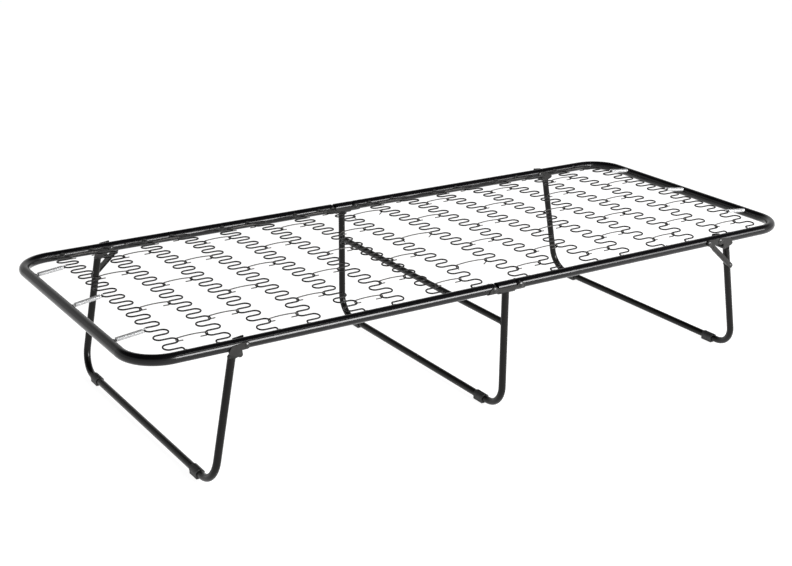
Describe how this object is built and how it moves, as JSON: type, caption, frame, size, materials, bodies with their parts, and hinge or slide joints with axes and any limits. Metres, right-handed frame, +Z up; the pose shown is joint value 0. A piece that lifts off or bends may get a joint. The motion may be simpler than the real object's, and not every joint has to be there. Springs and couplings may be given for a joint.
{
  "type": "folding cot",
  "caption": "Folding guest bed frame: two half frames of bent tube on a hinged centre leg, with folding end legs on slotted stays and a deck of zigzag spring wire.",
  "frame": {"origin": "on the floor, under the middle of the opened cot", "axes": "+X along the bed's length, +Y across it towards the side whose left end leg has a stay, +Z up"},
  "size_m": [1.9, 0.8054, 0.3559],
  "materials": {
    "frame_gloss_black": "gloss black powder coat",
    "leg_satin_black": "semi-gloss black powder coat",
    "bracket_black": "satin black powder coat",
    "rivet_black": "gloss black over steel",
    "spring_wire": "dark coated spring steel wire",
    "link_wire": "dark coated steel wire",
    "zinc_spring": "bright zinc plate",
    "foot_plastic": "moulded black plastic"
  },
  "bodies": {
    "centre_unit": {"centre_leg_cross_brace": "leg_satin_black", "centre_leg_feet": "foot_plastic", "centre_leg_saddles": "bracket_black", "centre_leg_tube": "leg_satin_black", "centre_link_wires": "link_wire", "centre_rail_stubs": "frame_gloss_black", "hinge_channel_far": "bracket_black", "hinge_channel_near": "bracket_black", "hinge_pins_left": "rivet_black", "hinge_pins_right": "rivet_black"},
    "left_half": {"left_bracket_rivets": "rivet_black", "left_end_tension_springs": "zinc_spring", "left_frame_tube": "frame_gloss_black", "left_hinge_end_plugs": "frame_gloss_black", "left_leg_bracket_far": "bracket_black", "left_leg_bracket_near": "bracket_black", "left_leg_pivot_pins": "rivet_black", "left_link_wires": "link_wire", "left_spring_row_1": "spring_wire", "left_spring_row_2": "spring_wire", "left_spring_row_3": "spring_wire", "left_spring_row_4": "spring_wire", "left_spring_row_5": "spring_wire", "left_spring_row_6": "spring_wire", "left_spring_row_7": "spring_wire", "left_spring_row_8": "spring_wire", "left_stay_pivot_rivet": "rivet_black", "left_wire_bushes": "foot_plastic"},
    "right_half": {"right_bracket_rivets": "rivet_black", "right_end_tension_springs": "zinc_spring", "right_frame_tube": "frame_gloss_black", "right_hinge_end_plugs": "frame_gloss_black", "right_leg_bracket_far": "bracket_black", "right_leg_bracket_near": "bracket_black", "right_leg_pivot_pins": "rivet_black", "right_link_wires": "link_wire", "right_spring_row_1": "spring_wire", "right_spring_row_2": "spring_wire", "right_spring_row_3": "spring_wire", "right_spring_row_4": "spring_wire", "right_spring_row_5": "spring_wire", "right_spring_row_6": "spring_wire", "right_spring_row_7": "spring_wire", "right_spring_row_8": "spring_wire", "right_stay_pivot_rivet": "rivet_black", "right_wire_bushes": "foot_plastic"},
    "left_leg": {"left_leg_feet": "foot_plastic", "left_leg_stay_stud": "rivet_black", "left_leg_top_lugs": "bracket_black", "left_leg_tube": "leg_satin_black"},
    "right_leg": {"right_leg_feet": "foot_plastic", "right_leg_stay_stud": "rivet_black", "right_leg_top_lugs": "bracket_black", "right_leg_tube": "leg_satin_black"},
    "left_stay": {"left_stay_channel": "bracket_black"},
    "right_stay": {"right_stay_channel": "bracket_black"}
  },
  "joints": [
    {"name": "left_half_fold", "type": "hinge", "parent": "centre_unit", "child": "left_half", "pos_m": [-0.0385, 0, 0.33], "axis": [0, 1, 0], "range_deg": [0, 90]},
    {"name": "right_half_fold", "type": "hinge", "parent": "centre_unit", "child": "right_half", "pos_m": [0.0385, 0, 0.33], "axis": [0, -1, 0], "range_deg": [0, 90]},
    {"name": "left_leg_fold", "type": "hinge", "parent": "left_half", "child": "left_leg", "pos_m": [-0.707, 0, 0.3109], "axis": [0, -1, 0], "range_deg": [0, 100]},
    {"name": "right_leg_fold", "type": "hinge", "parent": "right_half", "child": "right_leg", "pos_m": [0.707, 0, 0.3109], "axis": [0, 1, 0], "range_deg": [0, 100]},
    {"name": "left_stay_swing", "type": "hinge", "parent": "left_half", "child": "left_stay", "pos_m": [-0.64948, 0, 0.33], "axis": [0, -1, 0], "range_deg": [0, 50.5]},
    {"name": "right_stay_swing", "type": "hinge", "parent": "right_half", "child": "right_stay", "pos_m": [0.64948, 0, 0.33], "axis": [0, 1, 0], "range_deg": [0, 50.5]}
  ],
  "couplings": [
    {"joint": "left_stay_swing", "follows": "left_leg_fold", "ratio": 0.5},
    {"joint": "right_stay_swing", "follows": "right_leg_fold", "ratio": 0.5}
  ]
}
